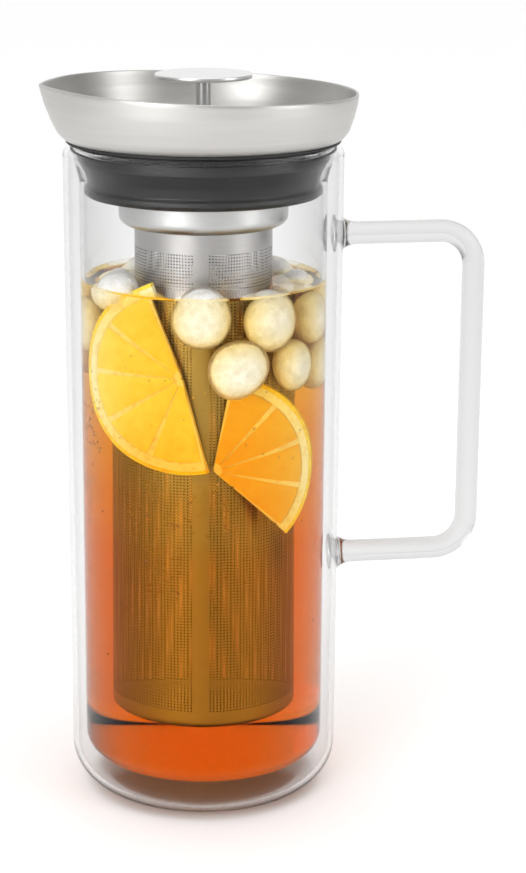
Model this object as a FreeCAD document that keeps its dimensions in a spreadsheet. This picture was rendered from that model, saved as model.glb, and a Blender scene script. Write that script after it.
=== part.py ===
import FreeCAD, Part
import math
import os
import re
import Sketcher

# Double-walled glass iced-tea jug with a steel pouring lid and a hanging infuser.
# The origin is the centre of the base, on the table. +Z is up, +X points to the handle
# and the spout points along -X. All sizes are in millimetres.

SIZES = {
    # Glass jug
    "jug_height": 264.5,
    "outer_radius": 55.0,
    "foot_taper": 0.8,
    "outer_wall": 2.0,
    "base_corner": 18.0,
    "base_thickness": 2.6,
    "punt_radius": 9.0,
    "punt_depth": 2.4,
    "wall_gap": 4.3,
    "inner_wall": 1.5,
    "inner_lift": 14.0,
    "inner_corner": 9.0,
    "inner_floor": 2.0,
    "mouth_widening": 2.4,
    "mouth_wall": 1.0,
    "mouth_flare": 7.0,
    "mouth_depth": 6.0,
    "bead_radius": 4.0,
    "bead_drop": 1.7,
    # Glass handle
    "handle_rod": 4.5,
    "handle_reach": 109.5,
    "handle_bend": 14.0,
    "handle_drop": 36.8,
    "handle_bottom": 95.0,
    "handle_foot": 7.0,
    "foot_flare": 5.0,
    # Pouring lid
    "seat_gap": 0.3,
    "gasket_height": 1.9,
    "collar_foot_inset": 0.4,
    "low_overhang": 1.8,
    "middle_overhang": 3.5,
    "high_overhang": 5.0,
    "mouth_overhang": 5.8,
    "low_rise": 3.4,
    "middle_rise": 8.2,
    "high_rise": 13.8,
    "mouth_rise": 24.0,
    "spout_nose": 3.4,
    "spout_tip": 2.4,
    "rim_margin": 3.0,
    "steel_sheet": 0.9,
    "handle_rim": 17.6,
    "spout_rim": 21.9,
    "seal_room": 8.7,
    "neck_wall": 0.8,
    "neck_depth": 22.4,
    "neck_foot": 2.4,
    "seal_clearance": 0.3,
    "waist_inset": 1.8,
    "seal_lip": 1.9,
    "seal_waist_rise": 1.5,
    # Infuser
    "flange_seat": 4.0,
    "flange_sheet": 0.8,
    "cup_room": 5.1,
    "cup_wall": 0.8,
    "cup_corner": 4.0,
    "cup_drop": 34.2,
    "slot_width": 3.0,
    "slot_count": 10,
    "slot_length": 15.0,
    "tube_inset": 6.2,
    "tube_wall": 0.6,
    "tube_socket": 3.0,
    "infuser_bottom": 33.4,
    "cap_height": 6.0,
    "cap_corner": 3.0,
    "cap_sheet": 0.8,
    "hole_radius": 1.6,
    "hole_pitch": 9.0,
    "hole_margin": 4.0,
    "hole_columns": 16,
    "seam_angle": 28.0,
    "seam_turn": 10.0,
    # Cover with its knob
    "cover_clearance": 0.5,
    "cover_lip": 1.5,
    "cover_sheet": 1.0,
    "plug_depth": 7.0,
    "plug_wall": 1.8,
    "ring_height": 3.0,
    "ring_depth": 0.9,
    "ring_bulge": 0.25,
    "stem_radius": 2.85,
    "knob_radius": 19.0,
    "knob_sheet": 1.8,
    "knob_rise": 22.3,
    "screw_radius": 1.5,
    "screw_head": 3.2,
    "screw_head_height": 1.6,
    "screw_length": 10.0,
}

# Heights and radii that several pieces share, spelled out in the sizes above.
SHARED = {
    "FOOT_RADIUS": "(outer_radius - foot_taper)",
    "BORE_RADIUS": "(outer_radius - outer_wall - wall_gap - inner_wall)",
    "MOUTH_RADIUS": "(BORE_RADIUS + mouth_widening)",
    "NECK_BORE": "(BORE_RADIUS - seal_room)",
    "SEAL_WAIST": "(BORE_RADIUS - waist_inset)",
    "FLANGE_RADIUS": "(NECK_BORE + flange_seat)",
    "CUP_RADIUS": "(NECK_BORE - cup_room)",
    "TUBE_RADIUS": "(CUP_RADIUS - tube_inset)",
    "COLLAR_FOOT": "(outer_radius - collar_foot_inset)",
    "COLLAR_LOW": "(outer_radius + low_overhang)",
    "COLLAR_MIDDLE": "(outer_radius + middle_overhang)",
    "COLLAR_HIGH": "(outer_radius + high_overhang)",
    "COLLAR_MOUTH": "(outer_radius + mouth_overhang)",
    "SEAM_RADIUS": "(MOUTH_RADIUS + mouth_wall)",
    "SHOULDER": "(outer_radius - SEAM_RADIUS)",
    "LID_SEAT": "(jug_height + seat_gap + gasket_height)",
    "LID_FLOOR": "(LID_SEAT + steel_sheet)",
    "FLANGE_TOP": "(LID_FLOOR + flange_sheet)",
    "COVER_TOP": "(FLANGE_TOP + cover_sheet)",
    "CUP_BOTTOM": "(LID_FLOOR - cup_drop)",
    "CUP_BORE": "(CUP_RADIUS - cup_wall)",
    "NECK_BOTTOM": "(LID_SEAT - neck_depth)",
    "NECK_OUTER": "(NECK_BORE + neck_wall)",
    "SEAL_BOTTOM": "(NECK_BOTTOM + neck_wall)",
    "SEAL_LIP_RADIUS": "(BORE_RADIUS - seal_clearance)",
    "FLARE_BASE": "(jug_height - mouth_depth - mouth_flare)",
    "HANDLE_TOP": "(jug_height - handle_drop)",
    "CAP_TOP": "(infuser_bottom + cap_height)",
    "PLUG_RADIUS": "(CUP_BORE - cover_clearance)",
    "PLUG_BOTTOM": "(FLANGE_TOP - plug_depth)",
    "RING_BOTTOM": "(PLUG_BOTTOM + (plug_depth - ring_height) / 2)",
    "KNOB_TOP": "(COVER_TOP + knob_rise)",
}

doc = FreeCAD.newDocument("IcedTeaJug")
sizes_sheet = doc.addObject("Spreadsheet::Sheet", "Sizes")
for row, (alias, size) in enumerate(SIZES.items(), start=1):
    sizes_sheet.set(f"A{row}", alias)
    sizes_sheet.set(f"B{row}", str(size))
    sizes_sheet.setAlias(f"B{row}", alias)
doc.recompute()


def spelled(text):
    """The expression with its shared heights and radii written out in sheet sizes."""
    while re.search(r"[A-Z]", text):
        text = re.sub(r"[A-Z][A-Z_]+", lambda word: SHARED[word.group()], text)
    return text


def tied(text):
    """The expression as another object uses it, with each size read from the sheet."""
    return re.sub(r"[a-z][a-z_]+", lambda word: "Sizes." + word.group(), spelled(text))


def value(text):
    """What the expression comes to at present."""
    return float(sizes_sheet.evalExpression(spelled(text)))


def tie(thing, **expressions):
    """Bind the named properties of an object to expressions in the sizes."""
    for name, text in expressions.items():
        thing.setExpression(name, tied(text))


def new_body(label):
    """An empty body that will be one piece of the jug."""
    body = doc.addObject("PartDesign::Body", label)
    body.Label = label
    return body


def new_sketch(body, name, role, offset=None):
    """A sketch on one of the body's own origin planes, moved off it by an expression."""
    plane = next(p for p in body.Origin.OriginFeatures if p.Role == role)
    sketch = body.newObject("Sketcher::SketchObject", name)
    sketch.AttachmentSupport = [(plane, "")]
    sketch.MapMode = "FlatFace"
    if offset:
        sketch.setExpression("AttachmentOffset.Base.z", tied(offset))
    return sketch


def bend_centre(start, end, leaving):
    """Centre of the round edge from start to end that leaves start flat or upright."""
    run, rise = end.x - start.x, end.y - start.y
    if leaving == "flat":
        return FreeCAD.Vector(start.x, start.y + (run * run + rise * rise) / (2 * rise), 0)
    return FreeCAD.Vector(start.x + (run * run + rise * rise) / (2 * run), start.y, 0)


def bent_edge(start, end, centre):
    """The round edge between two corners, and which of its ends lies at the start."""
    angles = [math.atan2(p.y - centre.y, p.x - centre.x) for p in (start, end)]
    turn = (angles[1] - angles[0]) % (2 * math.pi)
    start_vertex = 1 if turn < math.pi else 2
    if start_vertex == 2:
        angles.reverse()
    circle = Part.Circle(centre, FreeCAD.Vector(0, 0, 1), (start - centre).Length)
    return Part.ArcOfCircle(circle, angles[0], angles[1]), start_vertex


def draw(sketch, corners, closed=True):
    """Draw an outline whose corners are all tied to the sizes.

    A corner is (across, up), or (across, up, "flat" or "upright") where a round edge
    leaves it in that direction. The other edges are straight.
    """
    points = [FreeCAD.Vector(value(c[0]), value(c[1]), 0) for c in corners]
    edge_count = len(corners) if closed else len(corners) - 1
    starts, rules, ties = [], [], []
    for i in range(edge_count):
        start, end = points[i], points[(i + 1) % len(points)]
        if len(corners[i]) == 2:
            sketch.addGeometry(Part.LineSegment(start, end), False)
            starts.append(1)
            continue
        centre = bend_centre(start, end, corners[i][2])
        edge, vertex = bent_edge(start, end, centre)
        sketch.addGeometry(edge, False)
        starts.append(vertex)
        level = "Vertical" if corners[i][2] == "flat" else "Horizontal"
        rules.append(Sketcher.Constraint(level, i, 3, i, vertex))
    for i in range(edge_count if closed else edge_count - 1):
        follower = (i + 1) % edge_count
        rules.append(Sketcher.Constraint("Coincident", i, 3 - starts[i], follower, starts[follower]))
    for i, (corner, point) in enumerate(zip(corners, points)):
        edge, vertex = (i, starts[i]) if i < edge_count else (i - 1, 3 - starts[i - 1])
        across = ("DistanceX", -2, corner[0], point.x)
        up = ("DistanceY", -1, corner[1], point.y)
        for kind, axis, text, place in (across, up):
            if text == "0":
                rules.append(Sketcher.Constraint("PointOnObject", edge, vertex, axis))
            else:
                ties.append((len(rules), text))
                rules.append(Sketcher.Constraint(kind, -1, 1, edge, vertex, place))
    sketch.addConstraint(rules)
    for index, text in ties:
        sketch.setExpression(f"Constraints[{index}]", tied(text))


def draw_circle(sketch, across, up, radius):
    """Draw one circle tied to the sizes."""
    centre = FreeCAD.Vector(value(across), value(up), 0)
    circle = sketch.addGeometry(Part.Circle(centre, FreeCAD.Vector(0, 0, 1), value(radius)), False)
    for kind, axis, text in (("DistanceX", -2, across), ("DistanceY", -1, up)):
        if text == "0":
            sketch.addConstraint(Sketcher.Constraint("PointOnObject", circle, 3, axis))
        else:
            index = sketch.addConstraint(Sketcher.Constraint(kind, -1, 1, circle, 3, value(text)))
            sketch.setExpression(f"Constraints[{index}]", tied(text))
    index = sketch.addConstraint(Sketcher.Constraint("Radius", circle, value(radius)))
    sketch.setExpression(f"Constraints[{index}]", tied(radius))


def turned(label, corners):
    """A piece turned about the jug's axis from the outline of its section."""
    body = new_body(label)
    sketch = new_sketch(body, label + "_section", "XZ_Plane")
    draw(sketch, corners)
    turn = body.newObject("PartDesign::Revolution", label + "_turned")
    turn.Profile = sketch
    turn.ReferenceAxis = (sketch, ["V_Axis"])
    turn.Angle = 360
    return body


def pocket(body, sketch, name, length=None):
    """Cut the sketch both ways through the body, or one way from its plane."""
    cut = body.newObject("PartDesign::Pocket", name)
    cut.Profile = sketch
    if length:
        tie(cut, Length=length)
    else:
        cut.Type = "ThroughAll"
        cut.Midplane = True
    return cut


def make_jug_glass():
    """Two glass shells, fused at the rim, with the sealing bead in the base."""
    turned("outer_glass_wall", [
        ("punt_radius", "0"),
        ("FOOT_RADIUS - base_corner", "0", "flat"),
        ("FOOT_RADIUS", "base_corner"),
        ("outer_radius", "jug_height - SHOULDER", "upright"),
        ("SEAM_RADIUS", "jug_height"),
        ("SEAM_RADIUS", "jug_height - outer_wall", "flat"),
        ("outer_radius - outer_wall", "jug_height - SHOULDER"),
        ("FOOT_RADIUS - outer_wall", "base_corner", "upright"),
        ("FOOT_RADIUS - base_corner", "base_thickness"),
        ("punt_radius", "base_thickness"),
        ("bead_radius", "base_thickness + punt_depth"),
        ("bead_radius", "punt_depth"),
    ])
    turned("inner_glass_wall", [
        ("0", "inner_lift"),
        ("BORE_RADIUS + inner_wall - inner_corner", "inner_lift", "flat"),
        ("BORE_RADIUS + inner_wall", "inner_lift + inner_corner"),
        ("BORE_RADIUS + inner_wall", "FLARE_BASE"),
        ("SEAM_RADIUS", "jug_height - mouth_depth"),
        ("SEAM_RADIUS", "jug_height"),
        ("MOUTH_RADIUS", "jug_height - mouth_wall"),
        ("MOUTH_RADIUS", "jug_height - mouth_depth"),
        ("BORE_RADIUS", "FLARE_BASE"),
        ("BORE_RADIUS", "inner_lift + inner_corner", "upright"),
        ("BORE_RADIUS + inner_wall - inner_corner", "inner_lift + inner_floor"),
        ("0", "inner_lift + inner_floor"),
    ])
    turned("base_seal_bead", [
        ("0", "punt_depth - bead_drop", "flat"),
        ("bead_radius", "punt_depth"),
        ("bead_radius", "base_thickness + punt_depth"),
        ("0", "base_thickness + punt_depth"),
    ])


def make_handle():
    """One bent glass rod whose two flared ends are fused to the outer wall."""
    body = new_body("glass_handle")
    path = new_sketch(body, "handle_path", "XZ_Plane")
    root = "FOOT_RADIUS - handle_rod"
    draw(path, [
        (root, "HANDLE_TOP"),
        ("handle_reach - handle_bend", "HANDLE_TOP", "flat"),
        ("handle_reach", "HANDLE_TOP - handle_bend"),
        ("handle_reach", "handle_bottom + handle_bend", "upright"),
        ("handle_reach - handle_bend", "handle_bottom"),
        (root, "handle_bottom"),
    ], closed=False)
    section = new_sketch(body, "handle_section", "YZ_Plane", root)
    draw_circle(section, "0", "HANDLE_TOP", "handle_rod")
    rod = body.newObject("PartDesign::AdditivePipe", "handle_bent_rod")
    rod.Profile = section
    rod.Spine = (path, [f"Edge{i}" for i in range(1, 6)])
    plane = next(p for p in body.Origin.OriginFeatures if p.Role == "YZ_Plane")
    for name, height in (("upper_foot", "HANDLE_TOP"), ("lower_foot", "handle_bottom")):
        foot = body.newObject("PartDesign::AdditiveCone", name)
        foot.AttachmentSupport = [(plane, "")]
        foot.MapMode = "FlatFace"
        foot.setExpression("AttachmentOffset.Base.y", tied(height))
        foot.setExpression("AttachmentOffset.Base.z", tied(root))
        tie(foot, Radius1="handle_foot", Radius2="handle_rod")
        tie(foot, Height="outer_radius - FOOT_RADIUS + handle_rod + foot_flare")
    wall = body.newObject("PartDesign::SubtractiveCone", "jug_wall_line")
    wall.AttachmentSupport = [(next(p for p in body.Origin.OriginFeatures if p.Role == "XY_Plane"), "")]
    wall.MapMode = "FlatFace"
    wall.setExpression("AttachmentOffset.Base.z", tied("base_corner"))
    tie(wall, Radius1="FOOT_RADIUS", Radius2="outer_radius", Height="jug_height - SHOULDER - base_corner")


def nosed_section(body, name, height, radius, nose):
    """A round section with a pointed nose towards the spout, at the given height."""
    sketch = new_sketch(body, name, "XY_Plane", height)
    tip = f"({radius} + {nose} - spout_tip)"
    big, small, reach = value(radius), value("spout_tip"), value(tip)
    lean = math.acos((big - small) / reach)
    away = FreeCAD.Vector(0, 0, 1)
    tip_centre = FreeCAD.Vector(-reach, 0, 0)
    left, right = math.pi - lean, math.pi + lean
    rim = Part.ArcOfCircle(Part.Circle(FreeCAD.Vector(0, 0, 0), away, big), right, left + 2 * math.pi)
    point = Part.ArcOfCircle(Part.Circle(tip_centre, away, small), left, right)
    ends = [FreeCAD.Vector(math.cos(a), math.sin(a), 0) for a in (left, right)]
    far_flank = Part.LineSegment(ends[0] * big, tip_centre + ends[0] * small)
    near_flank = Part.LineSegment(tip_centre + ends[1] * small, ends[1] * big)
    sketch.addGeometry([rim, far_flank, point, near_flank], False)
    sketch.addConstraint([
        Sketcher.Constraint("Radius", 0, big),
        Sketcher.Constraint("Radius", 2, small),
        Sketcher.Constraint("DistanceX", 2, 3, -1, 1, reach),
        Sketcher.Constraint("PointOnObject", 2, 3, -1),
        Sketcher.Constraint("Coincident", 0, 3, -1, 1),
        Sketcher.Constraint("Tangent", 0, 2, 1, 1),
        Sketcher.Constraint("Tangent", 1, 2, 2, 1),
        Sketcher.Constraint("Tangent", 2, 2, 3, 1),
        Sketcher.Constraint("Tangent", 3, 2, 0, 1),
    ])
    for index, text in enumerate((radius, "spout_tip", tip)):
        sketch.setExpression(f"Constraints[{index}]", tied(text))
    return sketch


def make_pouring_collar():
    """The drawn steel bowl with its pulled spout, sloping rim and flat floor."""
    body = new_body("pouring_collar")
    levels = [
        ("foot", "0", "COLLAR_FOOT", "spout_nose * 0.06"),
        ("low", "low_rise", "COLLAR_LOW", "spout_nose * 0.15"),
        ("middle", "middle_rise", "COLLAR_MIDDLE", "spout_nose * 0.3"),
        ("high", "high_rise", "COLLAR_HIGH", "spout_nose * 0.55"),
        ("mouth", "mouth_rise", "COLLAR_MOUTH", "spout_nose"),
    ]
    forms = (("outer", "AdditiveLoft", "0"), ("inner", "SubtractiveLoft", "steel_sheet"))
    for kind, feature, wall in forms:
        sections = []
        for name, rise, radius, nose in levels:
            height = f"LID_SEAT + {wall if rise == '0' else rise}"
            sections.append(nosed_section(body, f"{kind}_{name}", height, f"({radius} - {wall})", nose))
        loft = body.newObject("PartDesign::" + feature, kind + "_form")
        loft.Profile = sections[0]
        loft.Sections = sections[1:]
    slope = new_sketch(body, "sloping_rim", "XZ_Plane")
    spout_reach = "(COLLAR_MOUTH + spout_nose)"
    draw(slope, [
        (f"0 - {spout_reach} - rim_margin", "LID_SEAT + spout_rim"),
        (f"0 - {spout_reach}", "LID_SEAT + spout_rim"),
        ("COLLAR_MOUTH", "LID_SEAT + handle_rim"),
        ("COLLAR_MOUTH + rim_margin", "LID_SEAT + handle_rim"),
        ("COLLAR_MOUTH + rim_margin", "LID_SEAT + mouth_rise + rim_margin"),
        (f"0 - {spout_reach} - rim_margin", "LID_SEAT + mouth_rise + rim_margin"),
    ])
    pocket(body, slope, "rim_cut")
    opening = new_sketch(body, "neck_opening", "XY_Plane", "LID_SEAT")
    draw_circle(opening, "0", "0", "NECK_BORE")
    pocket(body, opening, "neck_hole")


def make_lid_fittings():
    """The steel neck under the bowl and the two silicone seals around it."""
    turned("neck_sleeve", [
        ("NECK_BORE", "NECK_BOTTOM"),
        ("NECK_OUTER + neck_foot", "NECK_BOTTOM"),
        ("NECK_OUTER + neck_foot", "NECK_BOTTOM + neck_wall"),
        ("NECK_OUTER", "NECK_BOTTOM + neck_wall"),
        ("NECK_OUTER", "LID_SEAT"),
        ("NECK_BORE", "LID_SEAT"),
    ])
    turned("stopper_seal", [
        ("NECK_OUTER", "SEAL_BOTTOM"),
        ("SEAL_LIP_RADIUS - seal_lip", "SEAL_BOTTOM", "flat"),
        ("SEAL_LIP_RADIUS", "SEAL_BOTTOM + seal_lip", "upright"),
        ("SEAL_WAIST", "SEAL_BOTTOM + seal_lip + seal_waist_rise"),
        ("BORE_RADIUS - seal_clearance - seal_clearance", "FLARE_BASE"),
        ("MOUTH_RADIUS - seal_clearance - seal_clearance", "jug_height - mouth_depth"),
        ("MOUTH_RADIUS - seal_clearance - seal_clearance", "LID_SEAT - gasket_height"),
        ("NECK_OUTER", "LID_SEAT - gasket_height"),
    ])
    turned("rim_gasket", [
        ("NECK_OUTER", "LID_SEAT - gasket_height"),
        ("MOUTH_RADIUS - seal_clearance", "LID_SEAT - gasket_height"),
        ("COLLAR_FOOT - steel_sheet", "LID_SEAT - gasket_height / 2"),
        ("COLLAR_FOOT - steel_sheet", "LID_SEAT"),
        ("NECK_OUTER", "LID_SEAT"),
    ])


def make_infuser():
    """The flanged cup that hangs in the neck, with its perforated tube and end cap."""
    cup = turned("infuser_cup", [
        ("TUBE_RADIUS", "CUP_BOTTOM"),
        ("CUP_RADIUS - cup_corner", "CUP_BOTTOM", "flat"),
        ("CUP_RADIUS", "CUP_BOTTOM + cup_corner"),
        ("CUP_RADIUS", "LID_FLOOR"),
        ("FLANGE_RADIUS", "LID_FLOOR"),
        ("FLANGE_RADIUS", "FLANGE_TOP"),
        ("CUP_BORE", "FLANGE_TOP"),
        ("CUP_BORE", "CUP_BOTTOM + cup_corner", "upright"),
        ("CUP_RADIUS - cup_corner", "CUP_BOTTOM + cup_wall"),
        ("TUBE_RADIUS", "CUP_BOTTOM + cup_wall"),
    ])
    cut_pouring_slots(cup)
    make_perforated_tube()
    turned("infuser_end_cap", [
        ("0", "infuser_bottom"),
        ("TUBE_RADIUS - cap_corner", "infuser_bottom", "flat"),
        ("TUBE_RADIUS", "infuser_bottom + cap_corner"),
        ("TUBE_RADIUS", "CAP_TOP"),
        ("TUBE_RADIUS - tube_wall", "CAP_TOP"),
        ("TUBE_RADIUS - tube_wall", "infuser_bottom + cap_corner", "upright"),
        ("TUBE_RADIUS - cap_corner", "infuser_bottom + cap_sheet"),
        ("0", "infuser_bottom + cap_sheet"),
    ])


def cut_pouring_slots(cup):
    """A ring of curved slots in the flange, over the gap between cup and neck."""
    middle = "((CUP_RADIUS + NECK_BORE) / 2)"
    sketch = new_sketch(cup, "pouring_slot", "XY_Plane", "FLANGE_TOP")
    centre, away = FreeCAD.Vector(0, 0, 0), FreeCAD.Vector(0, 0, 1)
    inner, outer = value(f"{middle} - slot_width / 2"), value(f"{middle} + slot_width / 2")
    half, cap = math.asin(value(f"slot_length / 2 / {middle}")), value("slot_width / 2")
    ends = [FreeCAD.Vector(math.cos(a), math.sin(a), 0) * value(middle) for a in (-half, half)]
    sketch.addGeometry([
        Part.ArcOfCircle(Part.Circle(centre, away, outer), -half, half),
        Part.ArcOfCircle(Part.Circle(ends[1], away, cap), half, half + math.pi),
        Part.ArcOfCircle(Part.Circle(centre, away, inner), -half, half),
        Part.ArcOfCircle(Part.Circle(ends[0], away, cap), math.pi - half, 2 * math.pi - half),
    ], False)
    sketch.addConstraint([
        Sketcher.Constraint("Radius", 0, outer),
        Sketcher.Constraint("Radius", 2, inner),
        Sketcher.Constraint("DistanceY", 3, 3, -1, 1, ends[1].y),
        Sketcher.Constraint("DistanceY", -1, 1, 1, 3, ends[1].y),
        Sketcher.Constraint("Coincident", 0, 3, -1, 1),
        Sketcher.Constraint("Coincident", 2, 3, -1, 1),
        Sketcher.Constraint("Tangent", 0, 2, 1, 1),
        Sketcher.Constraint("Tangent", 1, 2, 2, 2),
        Sketcher.Constraint("Tangent", 2, 1, 3, 1),
        Sketcher.Constraint("Tangent", 3, 2, 0, 1),
    ])
    widths = [f"{middle} + slot_width / 2", f"{middle} - slot_width / 2"]
    for index, text in enumerate(widths + ["slot_length / 2"] * 2):
        sketch.setExpression(f"Constraints[{index}]", tied(text))
    slot = pocket(cup, sketch, "flange_slot")
    slots = cup.newObject("PartDesign::PolarPattern", "flange_slots")
    slots.Originals = [slot]
    slots.Axis = (sketch, ["N_Axis"])
    slots.Angle = 360
    tie(slots, Occurrences="slot_count")
    cup.Tip = slots


def make_perforated_tube():
    """The rolled tube, drilled in columns beside its plain seam and between plain ends."""
    tube = turned("infuser_tube", [
        ("TUBE_RADIUS - tube_wall", "CAP_TOP"),
        ("TUBE_RADIUS", "CAP_TOP"),
        ("TUBE_RADIUS", "CUP_BOTTOM + tube_socket"),
        ("TUBE_RADIUS - tube_wall", "CUP_BOTTOM + tube_socket"),
    ])
    column = new_sketch(tube, "hole_column", "XZ_Plane", "TUBE_RADIUS + hole_radius")
    first_row = "(CAP_TOP + hole_margin + hole_radius)"
    row_count = int(value(f"(CUP_BOTTOM - hole_margin - hole_radius - {first_row}) / hole_pitch")) + 1
    for row in range(row_count):
        draw_circle(column, "0", f"{first_row} + {row} * hole_pitch", "hole_radius")
    holes = pocket(tube, column, "drilled_column", "2 * hole_radius + 2 * tube_wall")
    columns = tube.newObject("PartDesign::PolarPattern", "drilled_columns")
    columns.Originals = [holes]
    columns.Axis = (next(a for a in tube.Origin.OriginFeatures if a.Role == "Z_Axis"), [""])
    tie(columns, Occurrences="hole_columns", Angle="360 - seam_angle")
    tube.Tip = columns
    tube.Placement.Rotation = FreeCAD.Rotation(FreeCAD.Vector(0, 0, 1), value("seam_angle / 2 - seam_turn"))


def make_cover():
    """The lift-out cover that closes the infuser, with its seal, stem, knob and screw."""
    turned("cover_plate", [
        ("screw_radius", "FLANGE_TOP"),
        ("PLUG_RADIUS - plug_wall", "FLANGE_TOP"),
        ("PLUG_RADIUS - plug_wall", "PLUG_BOTTOM"),
        ("PLUG_RADIUS", "PLUG_BOTTOM"),
        ("PLUG_RADIUS", "RING_BOTTOM"),
        ("PLUG_RADIUS - ring_depth", "RING_BOTTOM"),
        ("PLUG_RADIUS - ring_depth", "RING_BOTTOM + ring_height"),
        ("PLUG_RADIUS", "RING_BOTTOM + ring_height"),
        ("PLUG_RADIUS", "FLANGE_TOP"),
        ("CUP_BORE + cover_lip", "FLANGE_TOP"),
        ("CUP_BORE + cover_lip", "COVER_TOP"),
        ("screw_radius", "COVER_TOP"),
    ])
    turned("cover_seal_ring", [
        ("PLUG_RADIUS - ring_depth", "RING_BOTTOM"),
        ("PLUG_RADIUS", "RING_BOTTOM"),
        ("PLUG_RADIUS + ring_bulge", "RING_BOTTOM + ring_height / 2"),
        ("PLUG_RADIUS", "RING_BOTTOM + ring_height"),
        ("PLUG_RADIUS - ring_depth", "RING_BOTTOM + ring_height"),
    ])
    turned("knob_stem", [
        ("0", "FLANGE_TOP + screw_length"),
        ("screw_radius", "FLANGE_TOP + screw_length"),
        ("screw_radius", "COVER_TOP"),
        ("stem_radius", "COVER_TOP"),
        ("stem_radius", "KNOB_TOP - knob_sheet"),
        ("0", "KNOB_TOP - knob_sheet"),
    ])
    turned("stem_screw", [
        ("0", "FLANGE_TOP - screw_head_height"),
        ("screw_head - screw_head_height / 2", "FLANGE_TOP - screw_head_height", "flat"),
        ("screw_head", "FLANGE_TOP - screw_head_height / 2"),
        ("screw_head", "FLANGE_TOP"),
        ("screw_radius", "FLANGE_TOP"),
        ("screw_radius", "FLANGE_TOP + screw_length"),
        ("0", "FLANGE_TOP + screw_length"),
    ])
    turned("knob_disc", [
        ("0", "KNOB_TOP - knob_sheet"),
        ("knob_radius - knob_sheet / 2", "KNOB_TOP - knob_sheet", "flat"),
        ("knob_radius", "KNOB_TOP - knob_sheet / 2", "upright"),
        ("knob_radius - knob_sheet / 2", "KNOB_TOP"),
        ("0", "KNOB_TOP"),
    ])


def write_parts():
    """Recompute, check every object and write each piece to its own file."""
    doc.recompute()
    for thing in doc.Objects:
        if {"Invalid", "Error"} & set(thing.State):
            raise RuntimeError(f"{thing.Label} is {thing.State}")
    pieces = [thing for thing in doc.Objects if thing.TypeId == "PartDesign::Body"]
    for piece in pieces:
        if piece.Shape.isNull() or not piece.Shape.isValid():
            raise RuntimeError(f"{piece.Label} has no valid shape")
    os.makedirs("parts", exist_ok=True)
    for piece in pieces:
        piece.Shape.exportStep(f"parts/{piece.Label}.step")
        box = piece.Shape.BoundBox
        print(f"{piece.Label}: {piece.Shape.Volume:.1f} mm3, z {box.ZMin:.1f} to {box.ZMax:.1f}")


make_jug_glass()
make_handle()
make_pouring_collar()
make_lid_fittings()
make_infuser()
make_cover()
write_parts()
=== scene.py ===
import bmesh
import bpy
import math
import random
from mathutils import Matrix, Vector


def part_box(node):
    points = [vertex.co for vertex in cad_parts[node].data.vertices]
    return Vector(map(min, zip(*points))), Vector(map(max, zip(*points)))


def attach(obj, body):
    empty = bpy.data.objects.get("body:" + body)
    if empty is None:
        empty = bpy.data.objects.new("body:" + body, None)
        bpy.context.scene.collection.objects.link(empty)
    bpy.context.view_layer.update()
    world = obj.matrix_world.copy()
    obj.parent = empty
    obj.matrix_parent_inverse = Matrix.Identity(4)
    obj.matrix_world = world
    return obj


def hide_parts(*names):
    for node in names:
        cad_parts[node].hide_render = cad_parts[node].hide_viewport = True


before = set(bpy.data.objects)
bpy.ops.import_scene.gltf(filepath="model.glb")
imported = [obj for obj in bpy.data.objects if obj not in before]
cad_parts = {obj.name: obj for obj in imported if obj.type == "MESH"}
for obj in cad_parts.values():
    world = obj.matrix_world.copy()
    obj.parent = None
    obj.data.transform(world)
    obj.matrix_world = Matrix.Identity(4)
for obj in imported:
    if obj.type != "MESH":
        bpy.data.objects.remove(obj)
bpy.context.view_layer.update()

scene = bpy.context.scene
MM = 0.001

# Camera, floor and studio.
# The jug stands on a pale sweep and is seen a little from above, with its handle turned
# slightly away. Light comes from two large soft boxes, a ceiling lamp and a room that is
# bright behind and above the jug and darker to its left and right.
HANDLE_TURN = math.radians(8.0)
LOOK_DOWN = math.radians(15.2)
CAMERA_BACK = 895.0 * MM
CAMERA_HEIGHT = 389.2 * MM
FOCAL_PIXELS = 2300.0
FRAME_WIDTH, FRAME_HEIGHT = 526, 873
AXIS_PIXEL = 203.5
SENSOR = 36.0

camera_data = bpy.data.cameras.new("camera")
camera_data.sensor_width = SENSOR
camera_data.lens = SENSOR * FOCAL_PIXELS / FRAME_HEIGHT
camera_data.shift_x = (FRAME_WIDTH / 2 - AXIS_PIXEL) / FRAME_HEIGHT
camera_data.clip_start = 0.05
camera_data.clip_end = 30.0
camera = bpy.data.objects.new("camera", camera_data)
camera.location = (-CAMERA_BACK * math.sin(HANDLE_TURN), -CAMERA_BACK * math.cos(HANDLE_TURN), CAMERA_HEIGHT)
camera.rotation_euler = (math.pi / 2 - LOOK_DOWN, 0.0, -HANDLE_TURN)
scene.collection.objects.link(camera)
scene.camera = camera
scene.view_settings.view_transform = "Standard"
scene.cycles.transmission_bounces = 24
scene.cycles.transparent_max_bounces = 24
scene.cycles.max_bounces = 28
scene.cycles.glossy_bounces = 8
scene.cycles.sample_clamp_indirect = 6.0


def new_material(name):
    """A material with an empty node tree, and its output node."""
    material = bpy.data.materials.new(name)
    material.use_nodes = True
    material.node_tree.nodes.clear()
    return material, material.node_tree, material.node_tree.nodes.new("ShaderNodeOutputMaterial")


def principled(tree, output, **settings):
    """A Principled shader with the named sockets set, wired to the output."""
    shader = tree.nodes.new("ShaderNodeBsdfPrincipled")
    for name, setting in settings.items():
        shader.inputs[name.replace("_", " ")].default_value = setting
    tree.links.new(shader.outputs["BSDF"], output.inputs["Surface"])
    return shader


def add_mesh(name, mesh, material, body, slot, *nodes):
    """Put a mesh in the scene as a piece that rides a body and stands for CAD nodes."""
    piece = bpy.data.objects.new(name, mesh)
    scene.collection.objects.link(piece)
    mesh.materials.append(material)
    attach(piece, body)
    if nodes:
        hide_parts(*nodes)
    return piece


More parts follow.
